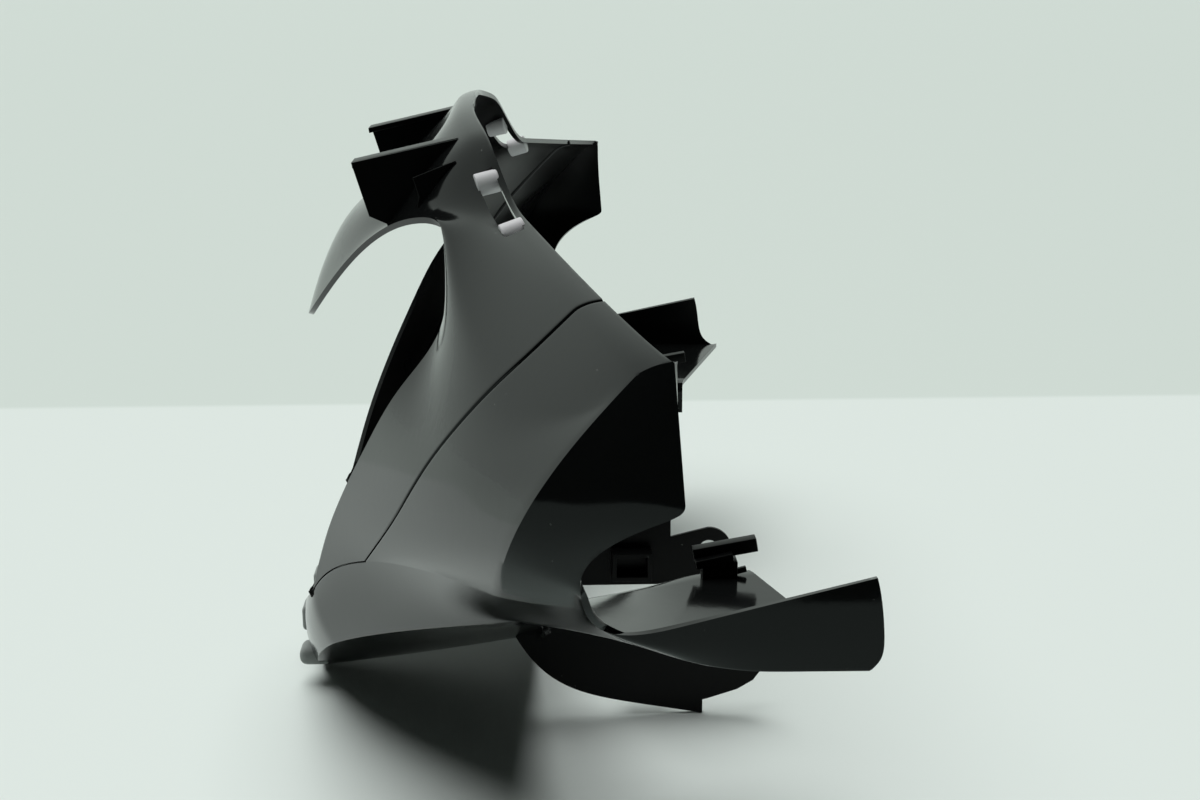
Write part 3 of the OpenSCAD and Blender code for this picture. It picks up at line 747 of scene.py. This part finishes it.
for side, word in ((1, "Right"), (-1, "Left")):
    tip = ribs["tallTip"][side]
    rib("tallRib" + word, side, ribs["tallColumn"], tip, ribs["tallDrop"], range(2, 9))
    rib("shortRib" + word, side, ribs["shortColumn"], ribs["shortTip"], ribs["shortDrop"], range(3, 8))
    ribCap("ribCap" + word, side, tip)

# Each row: corner from the clip's place on the floor, size, tilt.
clips = {
    "x": 140,
    "clipBlock": ((-4, 60, -1), (8, 12.5, 9.5), 0),
    "clipBar": ((0.5, 58, 6), (4, 13.5, 3), 12),
    "clipTongue": ((-4, 57.5, 7.3), (5, 23, 5), 10),
    "clipSpike": ((-1, 70, 2), (2, 6.5, 2), 14),
}
# Each row: corner from the chin's front, size, rounding.
chin = {
    "x": 20,
    "chinTab": ((-7, -3.8, 9.5), (14, 14, 8), 3.4),
    "chinHook": ((-7, -1.6, 26), (14, 4.5, 11), 2.0),
}
for side, word in ((1, "Right"), (-1, "Left")):
    for name in ("clipBlock", "clipBar", "clipTongue", "clipSpike"):
        (x, y, z), size, tilt = clips[name]
        block(name + word, (side * clips["x"] + x, y, c["floorZ"] + z), size, tilt)
    for name in ("chinTab", "chinHook"):
        (x, y, z), size, edge = chin[name]
        block(name + word, (side * chin["x"] + x, y - c["chinY"], z), size, edge=edge, material=tabGrey)
print("plates, ribs and clips built")

# Floor and light.
studio = {
    "floorSize": 80.0,
    "wallLine": -436.0,       # where the backdrop begins, in mm
    "floor": (0.70, 0.765, 0.73, 1),
    "beyond": (0.60, 0.67, 0.625, 1),
    "room": (0.60, 0.67, 0.625, 1),
    "roomFill": 0.16,         # what the bright side adds to the shadows
    "brightSide": (-0.75, -0.66, 0.0), "brightFrom": (-0.10, 0.35),
    "lamp": 3.4, "lampAngle": 60.0, "lampFrom": (-0.28, -0.26, 1.0),
    "tableRoughness": 0.45,
    # Two cards on the camera's side: a grey one on the floor, a black one standing.
    "cardStart": 0.15, "cardStand": 0.70, "cardHalf": 1.6, "cardTall": 1.6, "cardLift": 0.002,
    "cardBlack": (0.004, 0.004, 0.004, 1), "cardGrey": (0.01, 0.01, 0.01, 1),
    "cardGlow": (0.25, 0.30, 0.28, 1),
}

floorMesh = bpy.data.meshes.new("tableTop")
size = studio["floorSize"] / 2
floorMesh.from_pydata(
    [(-size, -size, 0), (size, -size, 0), (size, size, 0), (-size, size, 0)], [], [(0, 1, 2, 3)])
table = bpy.data.objects.new("tableTop", floorMesh)
bpy.context.scene.collection.objects.link(table)
mat, tree, shader = newMaterial("paleTable")
shader.inputs["Roughness"].default_value = studio["tableRoughness"]
coord = addNode(tree, "ShaderNodeTexCoord")
split = addNode(tree, "ShaderNodeSeparateXYZ")
tree.links.new(coord.outputs["Object"], split.inputs["Vector"])
line = studio["wallLine"] * mm
step = mapRange(tree, split.outputs["X"], 0, 1, line - 0.004, line + 0.004)
blend = addNode(tree, "ShaderNodeMix", data_type="RGBA")
blend.inputs[6].default_value = studio["beyond"]
blend.inputs[7].default_value = studio["floor"]
tree.links.new(step, blend.inputs[0])
tree.links.new(blend.outputs[2], shader.inputs["Base Color"])
table.data.materials.append(mat)

# Bright behind and to the left, dark on the camera's side.
world = bpy.data.worlds.new("paleRoom")
bpy.context.scene.world = world
world.use_nodes = True
tree = world.node_tree
coord = addNode(tree, "ShaderNodeTexCoord")
toward = addNode(tree, "ShaderNodeVectorMath", operation="DOT_PRODUCT")
toward.inputs[1].default_value = studio["brightSide"]
tree.links.new(coord.outputs["Generated"], toward.inputs[0])
bright = mapRange(tree, toward.outputs["Value"], 0.02, 1.0, *studio["brightFrom"])
ray = addNode(tree, "ShaderNodeLightPath")
fill = mapRange(tree, ray.outputs["Is Diffuse Ray"], 1.0, studio["roomFill"], 0, 1)
both = addNode(tree, "ShaderNodeMath", operation="MULTIPLY")
tree.links.new(bright, both.inputs[0])
tree.links.new(fill, both.inputs[1])
seen = addNode(tree, "ShaderNodeMath", operation="MAXIMUM")
tree.links.new(both.outputs["Value"], seen.inputs[0])
tree.links.new(ray.outputs["Is Camera Ray"], seen.inputs[1])
tree.nodes["Background"].inputs["Color"].default_value = studio["room"]
tree.links.new(seen.outputs["Value"], tree.nodes["Background"].inputs["Strength"])

lampData = bpy.data.lights.new("softLamp", "SUN")
lampData.energy = studio["lamp"]
lampData.angle = math.radians(studio["lampAngle"])
lamp = bpy.data.objects.new("softLamp", lampData)
lamp.visible_glossy = False
bpy.context.scene.collection.objects.link(lamp)
lamp.rotation_euler = Vector(studio["lampFrom"]).to_track_quat("Z", "Y").to_euler()

# The cards are seen only in the gloss.
half, lift = studio["cardHalf"], studio["cardLift"]
bends = (studio["cardStart"], lift), (studio["cardStand"], lift), (studio["cardStand"], studio["cardTall"])
cardMesh = bpy.data.meshes.new("darkCards")
cardMesh.from_pydata(
    [(x, y, z) for x, z in bends for y in (-half, half)], [], [(0, 1, 3, 2), (2, 3, 5, 4)])
cards = bpy.data.objects.new("darkCards", cardMesh)
bpy.context.scene.collection.objects.link(cards)
mat, tree, shader = newMaterial("cardBlack")
shader.inputs["Base Color"].default_value = studio["cardBlack"]
shader.inputs["Roughness"].default_value = 1.0
shader.inputs["Specular IOR Level"].default_value = 0.0
cardMesh.materials.append(mat)
mat, tree, shader = newMaterial("cardGrey")
shader.inputs["Base Color"].default_value = studio["cardGrey"]
shader.inputs["Emission Color"].default_value = studio["cardGlow"]
shader.inputs["Emission Strength"].default_value = 1.0
cardMesh.materials.append(mat)
cardMesh.polygons[0].material_index = 1
for ray in ("camera", "diffuse", "transmission", "volume_scatter", "shadow"):
    setattr(cards, "visible_" + ray, False)
print("studio lit")
